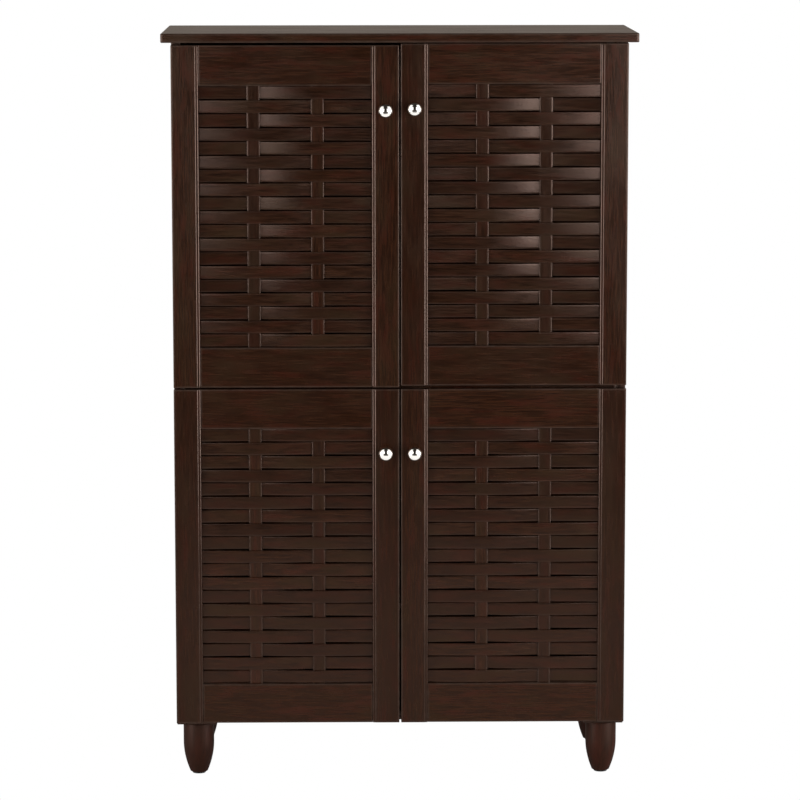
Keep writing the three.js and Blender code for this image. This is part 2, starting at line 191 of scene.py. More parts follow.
def make_wear_and_highlight_group():
    """Rubbed lacquer and painted highlight along edges: strongest where the edge attribute is high, broken
    up by noise.
    """
    tree, given, out = new_group(
        "rubbed_edges_and_highlights", [("Vector", VECTOR), ("Edge", VALUE), ("Amount", VALUE)], [("Mask", VALUE)])
    patches = scaled_noise(tree, given.outputs["Vector"], WORN_CELLS, 4.0, 0.65)
    broken = map_range(tree, patches, 0.3, 0.7, 0.35, 1.0)
    worn_and_highlit = math_node(tree, "MULTIPLY", math_node(tree, "MULTIPLY", given.outputs["Edge"], broken),
                     given.outputs["Amount"])
    tree.links.new(math_node(tree, "MINIMUM", worn_and_highlit, 1.0), out.inputs["Mask"])
    return tree


def make_dust_group():
    """Fine dust specks and faint wipe marks, as one mask."""
    tree, given, out = new_group(
        "dust_and_wipes", [("Vector", VECTOR), ("Amount", VALUE)], [("Mask", VALUE)])
    specks = scaled_noise(tree, given.outputs["Vector"], SPECK_CELLS, 1.0, 0.5)
    clouds = scaled_noise(tree, given.outputs["Vector"], CLOUD_CELLS, 3.0, 0.6)
    both = math_node(tree, "MULTIPLY_ADD", map_range(tree, specks, 0.7, 0.82), 0.6,
                     map_range(tree, clouds, 0.42, 0.8, 0.0, 0.5))
    tree.links.new(math_node(tree, "MULTIPLY", both, given.outputs["Amount"]), out.inputs["Mask"])
    return tree


GRAIN = make_grain_group()
WEAR_AND_HIGHLIGHT = make_wear_and_highlight_group()
DUST = make_dust_group()

# ---- Materials ----


def new_material(name):
    material = bpy.data.materials.new(name)
    material.use_nodes = True
    tree = material.node_tree
    return material, tree, tree.nodes["Principled BSDF"]


def group_node(tree, group, **inputs):
    return node(tree, "ShaderNodeGroup", {"node_tree": group}, **inputs)


def attribute(tree, name):
    return node(tree, "ShaderNodeAttribute", {"attribute_name": name}).outputs["Fac"]


def grain_vector(tree, along):
    """Object coordinates with the grain's direction moved to X."""
    place = node(tree, "ShaderNodeTexCoord").outputs["Object"]
    if along == "x":
        return place
    split = node(tree, "ShaderNodeSeparateXYZ", Vector=place).outputs
    return node(tree, "ShaderNodeCombineXYZ", X=split["Z"], Y=split["X"], Z=split["Y"]).outputs[0]


def wood(name, along, stain, deep, warm, olive, roughness, wear_and_highlight=0.5, dust=0.25, ripples=0.00009,
         gloss_level=0.8):
    """Dark stain under a satin lacquer, lighter at the edges, partly as rubbed lacquer and partly as
    painted highlight.
    """
    material, tree, shader = new_material(name)
    vector = grain_vector(tree, along)
    piece = attribute(tree, "piece")
    grain = group_node(tree, GRAIN, Vector=vector, Piece=piece, Stain=stain, Deep_Stain=deep,
                       Warm_Stain=warm, Olive_Stain=olive).outputs
    place = node(tree, "ShaderNodeTexCoord").outputs["Object"]
    worn_and_highlit = group_node(tree, WEAR_AND_HIGHLIGHT, Vector=place, Edge=attribute(tree, "edge"), Amount=wear_and_highlight).outputs["Mask"]
    dusty = group_node(tree, DUST, Vector=place, Amount=dust).outputs["Mask"]
    tinted = mix_colour(tree, map_range(tree, piece, 0.0, 1.0, 0.0, 0.45), grain["Color"], deep)
    # Lightens the edges: partly rubbed lacquer, partly painted highlight lines.
    rubbed_and_highlit = mix_colour(tree, worn_and_highlit, tinted, RUBBED_EDGE_AND_HIGHLIGHT)
    colour = mix_colour(tree, math_node(tree, "MULTIPLY", dusty, 0.05), rubbed_and_highlit, DUST_COLOUR)
    gloss = map_range(tree, grain["Sheen"], 0.35, 0.65, roughness - 0.05, roughness + 0.06)
    gloss = math_node(tree, "MULTIPLY_ADD", dusty, 0.10, gloss)
    tree.links.new(colour, shader.inputs["Base Color"])
    tree.links.new(gloss, shader.inputs["Roughness"])
    ripple = node(tree, "ShaderNodeBump", Strength=0.6, Distance=ripples, Height=grain["Ripple"])
    relief = node(tree, "ShaderNodeBump", Strength=0.6, Distance=PORE_DEPTH, Height=grain["Height"],
                  Normal=ripple.outputs["Normal"])
    tree.links.new(relief.outputs["Normal"], shader.inputs["Normal"])
    shader.inputs["Specular Tint"].default_value = LACQUER_TINT
    shader.inputs["Specular IOR Level"].default_value = gloss_level
    return material


def rgb(r, g, b):
    return (r, g, b, 1.0)


PORE_DEPTH = 0.00003
LACQUER_TINT = rgb(1.0, 0.71, 0.60)
# Lighter colour laid on along edges: partly rubbed lacquer, partly painted highlight lines.
RUBBED_EDGE_AND_HIGHLIGHT = rgb(0.105, 0.078, 0.064)
DUST_COLOUR = rgb(0.25, 0.23, 0.21)
BOARD_TONES = dict(stain=rgb(0.052, 0.0162, 0.0050), deep=rgb(0.016, 0.0044, 0.0014),
                   warm=rgb(0.061, 0.0128, 0.0056), olive=rgb(0.033, 0.0152, 0.0030))
SLAT_TONES = dict(stain=rgb(0.052, 0.0178, 0.0064), deep=rgb(0.013, 0.0039, 0.0014),
                  warm=rgb(0.057, 0.0132, 0.0060), olive=rgb(0.033, 0.0160, 0.0030))
FOOT_TONES = dict(stain=rgb(0.055, 0.0155, 0.0078), deep=rgb(0.020, 0.0055, 0.0027),
                  warm=rgb(0.067, 0.0140, 0.0075), olive=rgb(0.035, 0.0130, 0.0060))

WOOD_UPRIGHT = wood("dark_wood_upright", "z", roughness=0.21, **BOARD_TONES)
WOOD_ACROSS = wood("dark_wood_across", "x", roughness=0.21, **BOARD_TONES)
SLAT_LACQUER = dict(roughness=0.21, dust=0.12, gloss_level=1.0)
SLAT_ACROSS = wood("woven_slat_across", "x", wear_and_highlight=0.15, **SLAT_LACQUER, **SLAT_TONES)
SLAT_UPRIGHT = wood("woven_slat_upright", "z", wear_and_highlight=0.45, **SLAT_LACQUER, **SLAT_TONES)
TURNED_WOOD = wood("turned_foot_wood", "z", roughness=0.46, wear_and_highlight=0.2, gloss_level=0.45, **FOOT_TONES)
SIDE_WOOD = wood("dark_wood_side_panel", "z", roughness=0.27, dust=0.10, ripples=0.00002, **BOARD_TONES)
BACK_BOARD = wood("back_board_print", "z", roughness=0.55, wear_and_highlight=0.2, dust=0.5, **BOARD_TONES)


def polished(name, colour, roughness, haze):
    """Plated metal, with faint wipe marks in its colour and gloss."""
    material, tree, shader = new_material(name)
    place = node(tree, "ShaderNodeTexCoord").outputs["Object"]
    dusty = group_node(tree, DUST, Vector=place, Amount=haze).outputs["Mask"]
    tint = mix_colour(tree, math_node(tree, "MULTIPLY", dusty, 0.3), colour, rgb(0.45, 0.43, 0.4))
    tree.links.new(tint, shader.inputs["Base Color"])
    tree.links.new(math_node(tree, "MULTIPLY_ADD", dusty, 0.15, roughness), shader.inputs["Roughness"])
    fine = scaled_noise(tree, place, (700, 700, 700), 2.0, 0.6)
    relief = node(tree, "ShaderNodeBump", Strength=0.15, Distance=0.00004, Height=fine)
    tree.links.new(relief.outputs["Normal"], shader.inputs["Normal"])
    shader.inputs["Metallic"].default_value = 1.0
    return material


NICKEL = polished("polished_nickel", rgb(0.86, 0.84, 0.80), 0.07, 0.3)
STEEL = polished("plated_steel", rgb(0.62, 0.62, 0.60), 0.24, 0.8)


def rubber(name, colour):
    """Moulded nylon or rubber, finely matt."""
    material, tree, shader = new_material(name)
    place = node(tree, "ShaderNodeTexCoord").outputs["Object"]
    fine = scaled_noise(tree, place, (1200, 1200, 1200), 2.0, 0.6)
    tree.links.new(mix_colour(tree, fine, colour, rgb(0.02, 0.02, 0.02)), shader.inputs["Base Color"])
    tree.links.new(map_range(tree, fine, 0.3, 0.7, 0.45, 0.65), shader.inputs["Roughness"])
    relief = node(tree, "ShaderNodeBump", Strength=0.3, Distance=0.0001, Height=fine)
    tree.links.new(relief.outputs["Normal"], shader.inputs["Normal"])
    return material


NYLON = rubber("black_nylon", rgb(0.035, 0.034, 0.033))

# ---- Mesh helpers ----

ARC_STEPS = 5
GUARD = 2.5
END_RINGS = 4


def make_piece(name, vertices, quads, caps, material, body, finish, stands_for=(), edge=None, crease=32.0):
    """Makes one closed piece from whole arrays and puts it on its body.

    edge is 1 where the lacquer is lightened, partly as rubbing and partly as painted highlight, and 0
    elsewhere, and crease is the angle in degrees beyond which two faces meet in a sharp edge."""
    mesh = closed_mesh(name, vertices, quads, caps, crease)
    count = len(mesh.vertices)
    store = mesh.attributes.new("edge", "FLOAT", "POINT")
    store.data.foreach_set("value", np.zeros(count) if edge is None else np.ravel(edge).astype(float))
    mesh.materials.append(material)
    piece = bpy.data.objects.new(name, mesh)
    bpy.context.scene.collection.objects.link(piece)
    set_tone(piece, DRAW.random())
    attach(piece, body)
    if stands_for:
        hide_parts(*stands_for)
    return piece


def closed_mesh(name, vertices, quads, caps, crease):
    """A closed mesh whose faces point outwards, from arrays in millimetres.

    The sign of the volume, the sum of v0.(v1 x v2) + v0.(v2 x v3) over the faces, says which way
    they face."""
    points = np.asarray(vertices, float).reshape(-1, 3)
    quads = np.asarray(quads, int).reshape(-1, 4)
    v = points[quads]
    volume = np.einsum("ij,ij->i", v[:, 0], np.cross(v[:, 1], v[:, 2]) + np.cross(v[:, 2], v[:, 3])).sum()
    for cap in caps:
        ring = points[np.asarray(cap)]
        volume += np.einsum("ij,ij->i", np.broadcast_to(ring[0], ring[1:-1].shape),
                            np.cross(ring[1:-1], ring[2:])).sum()
    faces = quads.tolist() + [list(cap) for cap in caps]
    if volume < 0:
        faces = [face[::-1] for face in faces]
    mesh = bpy.data.meshes.new(name)
    mesh.from_pydata((points * MM).tolist(), [], faces)
    mesh.polygons.foreach_set("use_smooth", np.ones(len(faces), bool))
    mesh.set_sharp_from_angle(angle=math.radians(crease))
    return mesh


def set_tone(piece, tones):
    """Stores the number that shifts the grain and the tone of each slat or board."""
    mesh = piece.data
    store = mesh.attributes.get("piece") or mesh.attributes.new("piece", "FLOAT", "POINT")
    store.data.foreach_set("value", np.broadcast_to(np.ravel(tones), len(mesh.vertices)).astype(float))


def span(name):
    """A CAD node's lowest and highest corners, in millimetres."""
    low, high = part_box(name)
    return np.array(low) / MM, np.array(high) / MM


def outline(corners):
    """A closed section from (a, b, radius) corners.

    Each corner becomes an arc that is tangent to both sides, with a guard point GUARD beyond it, so
    that the edge value falls from 1 on the arc to 0 close by."""
    points, edge = [], []
    count = len(corners)
    for i, (a, b, radius) in enumerate(corners):
        here = np.array([a, b], float)
        sides = [np.array(corners[j][:2], float) - here for j in (i - 1, (i + 1) % count)]
        lengths = [np.linalg.norm(side) for side in sides]
        sides = [side / length for side, length in zip(sides, lengths)]
        if radius == 0:
            points.append(here[None])
            edge.append(np.zeros(1))
            continue
        opening = math.acos(np.clip(sides[0] @ sides[1], -1, 1))
        reach = radius / math.tan(opening / 2)
        middle = sides[0] + sides[1]
        centre = here + middle / np.linalg.norm(middle) * radius / math.sin(opening / 2)
        start = here + sides[0] * reach - centre
        turn = (math.pi - opening) * np.linspace(0, 1, ARC_STEPS + 1)
        stop = here + sides[1] * reach - centre
        turn = turn * np.sign(start[0] * stop[1] - start[1] * stop[0])
        arc = centre + np.stack([start[0] * np.cos(turn) - start[1] * np.sin(turn),
                                 start[0] * np.sin(turn) + start[1] * np.cos(turn)], 1)
        if lengths[0] > reach + 2 * GUARD:
            points.append((here + sides[0] * (reach + GUARD))[None])
            edge.append(np.zeros(1))
        points.append(arc)
        edge.append(np.full(ARC_STEPS + 1, 1.0))
        if lengths[1] > reach + 2 * GUARD:
            points.append((here + sides[1] * (reach + GUARD))[None])
            edge.append(np.zeros(1))
    return np.concatenate(points), np.concatenate(edge)


def inset_directions(section):
    """For each point of a closed section, the way in that keeps both its sides parallel to themselves."""
    ahead = np.roll(section, -1, 0) - section
    ahead = ahead / np.linalg.norm(ahead, axis=1, keepdims=True)
    area = np.sum(section[:, 0] * np.roll(section[:, 1], -1) - np.roll(section[:, 0], -1) * section[:, 1])
    inward = np.stack([-ahead[:, 1], ahead[:, 0]], 1) * np.sign(area)
    both = inward + np.roll(inward, 1, 0)
    size = np.sum(both * both, 1, keepdims=True) / 2
    return both / np.maximum(size, 0.4)


def tube_quads(rings, count):
    """Quads that join neighbouring rings of a closed section."""
    ring, step = np.arange(rings - 1)[:, None], np.arange(count)[None]
    a, b = ring * count + step, ring * count + (step + 1) % count
    return np.stack([a, b, b + count, a + count], -1).reshape(-1, 4)


def bar(name, section, edge, axes, start, stop, rounding, material, body, finish, stands_for=()):
    """A section carried in a straight line from start to stop.

    axes says which of X, Y, Z the section's a and b and the line itself run along. At distance d
    from an end the section is inset by r(1 - sin(acos(1 - d/r))), a quarter round of radius r."""
    quarter = np.linspace(0, math.pi / 2, END_RINGS + 1)
    depth = rounding * (1 - np.cos(quarter))
    inset = rounding * (1 - np.sin(quarter))
    lengths = np.concatenate([start + depth, [start + rounding + GUARD, stop - rounding - GUARD],
                              stop - depth[::-1]])
    insets = np.concatenate([inset, [0.0, 0.0], inset[::-1]])
    ends = np.concatenate([np.ones(END_RINGS + 1), [0.0, 0.0], np.ones(END_RINGS + 1)])
    count = len(section)
    rings = section[None] + inset_directions(section)[None] * insets[:, None, None]
    points = np.zeros((len(lengths), count, 3))
    points[..., axes[0]] = rings[..., 0]
    points[..., axes[1]] = rings[..., 1]
    points[..., axes[2]] = lengths[:, None]
    last = (len(lengths) - 1) * count
    caps = [range(count)[::-1], range(last, last + count)]
    marks = np.maximum(edge[None], ends[:, None])
    return make_piece(name, points, tube_quads(len(lengths), count), caps, material, body, finish,
                      stands_for, marks)


def board(name, low, high, radius, material, body, finish, stands_for=()):
    """A board with all its edges rounded: the section across Y and Z, carried along X."""
    (_, y0, z0), (_, y1, z1) = low, high
    section, edge = outline([(y0, z0, radius), (y1, z0, radius), (y1, z1, radius), (y0, z1, radius)])
    return bar(name, section, edge, (1, 2, 0), low[0], high[0], radius, material, body, finish, stands_for)


def lathe(profile, sides, centre, axis):
    """A profile of (radius, height) turned about an axis; its first and last points are on the axis.

    Vertex = centre + r cos(t) A + r sin(t) B + h N, with N the axis."""
    profile = np.asarray(profile, float)
    normal = np.array(axis, float)
    normal /= np.linalg.norm(normal)
    first = np.cross(normal, [0.0, 0.0, 1.0] if abs(normal[2]) < 0.9 else [1.0, 0.0, 0.0])
    first /= np.linalg.norm(first)
    second = np.cross(normal, first)
    angle = np.linspace(0, 2 * math.pi, sides, endpoint=False)
    around = np.cos(angle)[:, None] * first + np.sin(angle)[:, None] * second
    rings = profile[1:-1, 0, None, None] * around[None] + profile[1:-1, 1, None, None] * normal
    ends = profile[[0, -1], 1, None] * normal
    points = np.concatenate([rings.reshape(-1, 3), ends]) + np.asarray(centre, float)
    count = len(profile) - 2
    quads = tube_quads(count, sides)
    step = np.arange(sides)
    following = (step + 1) % sides
    low, high = count * sides, count * sides + 1
    fan_low = np.stack([np.full(sides, low), following, step], 1)
    fan_high = np.stack([np.full(sides, high), step + low - sides, following + low - sides], 1)
    return points, quads, np.concatenate([fan_low, fan_high]).tolist()


def several(parts):
    """Joins the arrays of separate closed shells into one set."""
    points, quads, caps, base = [], [], [], 0
    for vertices, faces, ends in parts:
        points.append(np.reshape(vertices, (-1, 3)))
        quads.append(np.asarray(faces) + base)
        caps.extend([[index + base for index in cap] for cap in ends])
        base += len(points[-1])
    return np.concatenate(points), np.concatenate(quads), caps


# ---- Case ----

BOARD_EDGE = 1.2
TOP_EDGE = 1.8
THIN_EDGE = 0.6


def make_case():
    low, high = span("top_panel")
    board("board_top", low, high, TOP_EDGE, WOOD_ACROSS, "case", "dark_wood", ["top_panel"])
    for name in ("fixed_shelf", "shelf_lower_1", "shelf_lower_2", "shelf_upper_1", "shelf_upper_2"):
        low, high = span(name)
        board(f"board_{name}", low, high, BOARD_EDGE, WOOD_ACROSS, "case", "dark_wood", [name])
    for name in ("back_panel_lower", "back_panel_upper"):
        low, high = span(name)
        board(f"board_{name}", low, high, THIN_EDGE, BACK_BOARD, "case", "back_board", [name])
    for side in ("left", "right"):
        make_side_panel(side)
    make_bottom()


def make_side_panel(side):
    """The panel's outline across Y and Z, its lower front corner eased to a bigger round."""
    name = f"side_panel_{side}"
    (x0, y0, z0), (x1, y1, z1) = span(name)
    section, edge = outline([(y0, z0, 5.0), (y1, z0, 1.0), (y1, z1, 1.0), (y0, z1, 1.0)])
    bar(f"board_side_{side}", section, edge, (1, 2, 0), x0, x1, 1.0, SIDE_WOOD, "case", "dark_wood",
        [name])


BOTTOM_THICKNESS = 15.0
BLOCK_SIZE = 50.0


def make_bottom():
    """The bottom board, and the block under each corner that a foot screws into."""
    low, high = span("bottom_panel")
    board("board_bottom", (low[0], low[1], high[2] - BOTTOM_THICKNESS), high, BOARD_EDGE, WOOD_ACROSS,
          "case", "dark_wood", ["bottom_panel"])
    for end in ("front", "rear"):
        for side in ("left", "right"):
            foot_low, foot_high = span(f"foot_{end}_{side}")
            x0 = low[0] if side == "left" else high[0] - BLOCK_SIZE
            y0 = (foot_low[1] + foot_high[1] - BLOCK_SIZE) / 2
            board(f"corner_block_{end}_{side}", (x0, y0, low[2]),
                  (x0 + BLOCK_SIZE, y0 + BLOCK_SIZE, high[2] - BOTTOM_THICKNESS), BOARD_EDGE, WOOD_ACROSS,
                  "case", "dark_wood")


FOOT_TAPER = 55.0
TOE_RADIUS = 13.0
GLIDE = 2.0
FOOT_TOP_ROUND = 2.2
FOOT_SIDES = 72
GLIDE_SIDES = 40
GLIDE_PROFILE = ((0, 0), (10.5, 0), (11.2, 0.6), (11.2, GLIDE - 0.05), (0, GLIDE - 0.05))


def make_feet():
    """Feet whose radius is R below the shoulder less (R - toe)(1 - z/taper)^2, with a soft toe and top."""
    for end in ("front", "rear"):
        for side in ("left", "right"):
            name = f"foot_{end}_{side}"
            low, high = span(name)
            radius = (high[0] - low[0]) / 2
            centre = ((low[0] + high[0]) / 2, (low[1] + high[1]) / 2, 0.0)
            z = np.linspace(GLIDE + 1.5, FOOT_TAPER, 22)
            taper = radius - (radius - TOE_RADIUS) * (1 - z / FOOT_TAPER) ** 2
            turn = np.linspace(0, math.pi / 2, 7)
            profile = np.concatenate([
                [[0.0, GLIDE], [TOE_RADIUS - 1.2, GLIDE], [TOE_RADIUS - 0.3, GLIDE + 0.5]],
                np.stack([taper, z], 1),
                np.stack([radius - FOOT_TOP_ROUND * (1 - np.cos(turn)),
                          high[2] - FOOT_TOP_ROUND + FOOT_TOP_ROUND * np.sin(turn)], 1),
                [[0.0, high[2]]]])
            points, quads, caps = lathe(profile, FOOT_SIDES, centre, (0, 0, 1))
            make_piece(f"turned_{name}", points, quads, caps, TURNED_WOOD, "case", "turned_wood", [name])
            points, quads, caps = lathe(GLIDE_PROFILE, GLIDE_SIDES, centre, (0, 0, 1))
            make_piece(f"glide_{end}_{side}", points, quads, caps, NYLON, "case", "turned_wood")


# ---- Doors ----

STILE_WIDTH = 44.25
MOULDING_SLOPES = ((35.4, 0), (38.4, 1), (38.8, 30), (39.5, 32), (39.9, 1), (42.1, 1), (42.5, 27),
                   (43.2, 34), (43.8, 55), (44.25, 80))
# Edge values across the moulding. The high values on the two bead ridges paint highlight lines there, over
# a little real rubbing.
MOULDING_WEAR_AND_HIGHLIGHT = ((35.4, 0.1), (38.2, 0.2), (38.8, 1.0), (39.6, 1.0), (40.1, 0.1),
                 (42.1, 0.1), (42.7, 0.9), (43.4, 0.6), (44.25, 0.3))
DOOR_THICKNESS = 18.0
GROOVE_WIDTH = 2.8
GROOVE_DEPTH = 4.0
CUP_RADIUS = 17.5
CUP_DEPTH = 12.7
CUP_FROM_EDGE = 22.5
BORE_CREASE = 32.0
BORE_SIDES = 64
GROOVE_EDGE = 0.3
RAIL_EDGE = 1.0
RAIL_INNER_EDGE = 0.9
ROWS = 19
SLAT_WIDTH = 20.7
SLAT_THICKNESS = 2.0
TONGUE = 3.4
UPRIGHT_SPACING = 104.0
WEAVE_OFFSET = 2.6
FRONT_FLAT = 9.0
BACK_FLAT = 4.0
DIP_GROWTH = 0.7
DIP_FALL = 14.0
ROUND_END = 0.75
SLAT_STEPS = 96
SLAT_EDGE = 0.75
SLAT_CROWN = 0.12
PANEL_INSET = 3.5
REACH_SPREAD = (0.96, 1.08)
ROW_SCATTER = 0.12
BOW_SCATTER = 0.1
BOW_LENGTH = 90
TILT_SCATTER = 0.007
UPRIGHT_SWAY = 0.12
UPRIGHT_THINNING = 0.98


def moulding():
    """The moulding on a stile's inner edge, as points (u, v, edge) from the face to the edge.

    Its slope angle s(u) runs straight between the pairs in MOULDING_SLOPES: two ledges that are
    nearly flat, each ending in a narrow bead, the second of which rolls over the edge. The depth v
    is the sum of tan(s) du."""
    u = np.linspace(MOULDING_SLOPES[0][0], MOULDING_SLOPES[-1][0], 60)
    places, slopes = np.transpose(MOULDING_SLOPES)
    rise = np.tan(np.radians(np.interp(u, places, slopes)))
    v = np.concatenate([[0.0], np.cumsum((rise[1:] + rise[:-1]) / 2 * np.diff(u))])
    # The edge values paint highlight lines on the bead ridges as well as rubbing.
    return np.stack([u, v], 1), np.interp(u, *np.transpose(MOULDING_WEAR_AND_HIGHLIGHT))


def stile_section():
    """The stile's section, from its outer edge inwards and from its face back."""
    middle, lip = DOOR_THICKNESS / 2, GROOVE_WIDTH / 2
    worked, worn_and_highlit = moulding()
    section, edge = outline([
        (0, 0, 1.1), (*worked[0], 0), (STILE_WIDTH, worked[-1][1], 0),
        (STILE_WIDTH, middle - lip, GROOVE_EDGE), (STILE_WIDTH - GROOVE_DEPTH, middle - lip, 0),
        (STILE_WIDTH - GROOVE_DEPTH, middle + lip, 0), (STILE_WIDTH, middle + lip, GROOVE_EDGE),
        (STILE_WIDTH, DOOR_THICKNESS, 1.2), (0, DOOR_THICKNESS, 1.4)])
    at = int(np.argmin(np.linalg.norm(section - worked[0], axis=1)))
    section = np.concatenate([section[:at], worked, section[at + 2:]])
    return section, np.concatenate([edge[:at], worn_and_highlit, edge[at + 2:]])


def make_stile(name, node_name, outer, direction, front, low, high, tag):
    section, edge = stile_section()
    section = section * (direction, 1) + (outer, front)
    return bar(name, section, edge, (0, 1, 2), low, high, 0.9, WOOD_UPRIGHT, f"door_{tag}", "dark_wood",
               [node_name])


def bore_cup_holes(stile, tag, outer, inward):
    """Bores the two blind holes for the hinge cups from the back of a stile."""
    back = span(f"hinge_stile_{tag}")[1][1]
    profile = [[0, 0], [CUP_RADIUS, 0], [CUP_RADIUS, CUP_DEPTH + 1], [0, CUP_DEPTH + 1]]
    holes = []
    for end in ("bottom", "top"):
        low, high = span(f"hinge_cup_{tag}_{end}")
        centre = (outer + inward * CUP_FROM_EDGE, back - CUP_DEPTH, (low[2] + high[2]) / 2)
        holes.append(lathe(profile, BORE_SIDES, centre, (0, 1, 0)))
    drill = bpy.data.objects.new("drill", closed_mesh("drill", *several(holes), BORE_CREASE))
    bpy.context.scene.collection.objects.link(drill)
    cut = stile.modifiers.new("cup_holes", "BOOLEAN")
    cut.operation = "DIFFERENCE"
    cut.solver = "EXACT"
    cut.object = drill
    # Without depsgraph, new_from_object gives an empty mesh and no error.
    graph = bpy.context.evaluated_depsgraph_get()
    bored = bpy.data.meshes.new_from_object(stile.evaluated_get(graph), preserve_all_data_layers=True,
                                            depsgraph=graph)
    stile.modifiers.clear()
    bored.set_sharp_from_angle(angle=math.radians(BORE_CREASE))
    solid = stile.data
    stile.data = bored
    bpy.data.meshes.remove(solid)
    bpy.data.objects.remove(drill)


def make_rail(name, node_name, tag, groove_side):
    (x0, y0, z0), (x1, y1, z1) = span(node_name)
    middle, lip = (y0 + y1) / 2, GROOVE_WIDTH / 2
    inner, outer = (z1, z0) if groove_side > 0 else (z0, z1)
    floor = inner - groove_side * GROOVE_DEPTH
    section, edge = outline([
        (y0, outer, RAIL_EDGE), (y1, outer, RAIL_EDGE), (y1, inner, RAIL_EDGE),
        (middle + lip, inner, GROOVE_EDGE), (middle + lip, floor, 0),
        (middle - lip, floor, 0), (middle - lip, inner, GROOVE_EDGE), (y0, inner, RAIL_INNER_EDGE)])
    bar(name, section, edge, (1, 2, 0), x0, x1, 0.35, WOOD_ACROSS, f"door_{tag}", "dark_wood", [node_name])


def slat_section():
    """A thin slat's section: a round-edged bar, its faces crowned by SLAT_CROWN (1 - (2a / width)^2)."""
    wide, thick = SLAT_WIDTH / 2, SLAT_THICKNESS / 2
    section, edge = outline([(-wide, -thick, SLAT_EDGE), (wide, -thick, SLAT_EDGE),
                             (wide, thick, SLAT_EDGE), (-wide, thick, SLAT_EDGE)])
    crown = SLAT_CROWN * (1 - (2 * section[:, 0] / SLAT_WIDTH) ** 2)
    section[:, 1] += np.sign(section[:, 1]) * crown
    return section, edge


def dip(t):
    """From 0 to 1 as t goes from 0 to 1, with a slope that goes as t^a (1 - t^b)."""
    a, b = DIP_GROWTH, DIP_FALL
    whole = 1 / (a + 1) - 1 / (a + b + 1)
    return (t ** (a + 1) / (a + 1) - t ** (a + b + 1) / (a + b + 1)) / whole


def weave_depth(x, first, second, width, behind):
    """A slat's bend at x, from -1 in front of an upright to 1 behind it.

    It leaves each groove as a quarter sine, a little straightened. Between the uprights it lies
    flat over the one that it passes in front of, and dips ever more steeply until it is behind the
    other."""
    side = 1 if behind else -1
    rise = np.clip(x / (first - FRONT_FLAT), 0, 1)
    fall = np.clip((width - x) / (width - second - FRONT_FLAT), 0, 1)
    rise, fall = (ROUND_END * np.sin(math.pi / 2 * t) + (1 - ROUND_END) * t for t in (rise, fall))
    from_front = second - x if behind else x - first
    between = second - first - FRONT_FLAT - BACK_FLAT
    middle = 2 * dip(np.clip((from_front - FRONT_FLAT) / between, 0, 1)) - 1
    return np.where(x < first, side * rise, np.where(x > second, -side * fall, middle))


def slat_shell(points):
    """One slat's points, the quads along it and the caps at its two ends."""
    steps, count = points.shape[:2]
    last = (steps - 1) * count
    caps = [list(range(count))[::-1], list(range(last, last + count))]
    return points, tube_quads(steps, count), caps


def join_slats(name, tag, shells, tones, edge, material, stands_for=()):
    """Makes one piece of a door's slats, each with its own tone."""
    points, quads, caps = several(shells)
    marks = np.concatenate([np.broadcast_to(edge, shell[0].shape[:2]).ravel() for shell in shells])
    piece = make_piece(name, points, quads, caps, material, f"door_{tag}", "woven_slats", stands_for,
                       marks)
    set_tone(piece, np.repeat(tones, len(points) // len(tones)))


def make_slats(tag, first_row_behind):
    """Nineteen horizontal slats woven through two uprights, each a section carried along its bend."""
    low, high = span(f"woven_panel_{tag}")
    left, right = low[0] + PANEL_INSET, high[0] - PANEL_INSET
    bottom, top = low[2] + PANEL_INSET, high[2] - PANEL_INSET
    middle = (low[1] + high[1]) / 2
    width, pitch = right - left, (top - bottom) / ROWS
    first = (width - UPRIGHT_SPACING) / 2
    second = first + UPRIGHT_SPACING
    section, edge = slat_section()
    across, out = section[None, :, 0], section[None, :, 1]
    x = np.linspace(-TONGUE, width + TONGUE, SLAT_STEPS + 1)
    shells, tones = [], []
    for row in range(ROWS):
        behind = (row % 2 == 0) == first_row_behind
        reach = WEAVE_OFFSET * DRAW.uniform(*REACH_SPREAD)
        depth = middle + reach * weave_depth(x, first, second, width, behind)
        centre = top - (row + 0.5) * pitch + DRAW.normal(0, ROW_SCATTER)
        centre = centre + DRAW.normal(0, BOW_SCATTER) * np.sin(x / BOW_LENGTH + row)
        tilt = DRAW.normal(0, TILT_SCATTER)
        points = np.stack([np.broadcast_to(left + x[:, None], (len(x), len(section))),
                           depth[:, None] + out + across * tilt,
                           centre[:, None] + across - out * tilt], -1)
        shells.append(slat_shell(points))
        tones.append(DRAW.random())
    join_slats(f"slats_across_{tag}", tag, shells, tones, edge, SLAT_ACROSS, [f"woven_panel_{tag}"])
    shells, tones = [], []
    z = np.linspace(bottom - TONGUE, top + TONGUE, 4 * ROWS + 1)
    for number, along in enumerate((first, second)):
        sway = UPRIGHT_SWAY * np.cos(math.pi * (z - bottom) / pitch + number * math.pi)
        points = np.stack([np.broadcast_to(left + along + across, (len(z), len(section))),
                           middle + sway[:, None] + out * UPRIGHT_THINNING,
                           np.broadcast_to(z[:, None], (len(z), len(section)))], -1)
        shells.append(slat_shell(points))
        tones.append(DRAW.random())
    join_slats(f"slats_upright_{tag}", tag, shells, tones, edge, SLAT_UPRIGHT)


KNOB_RADIUS = 11.5
KNOB_SIDES = 64
DOME_DEPTH = 6.4
NECK_RADIUS = 4.6
NECK_END = 13.5
FLANGE_FLARE = 2.6
FLANGE_RADIUS = 7.2
FLANGE_THICKNESS = 1.7


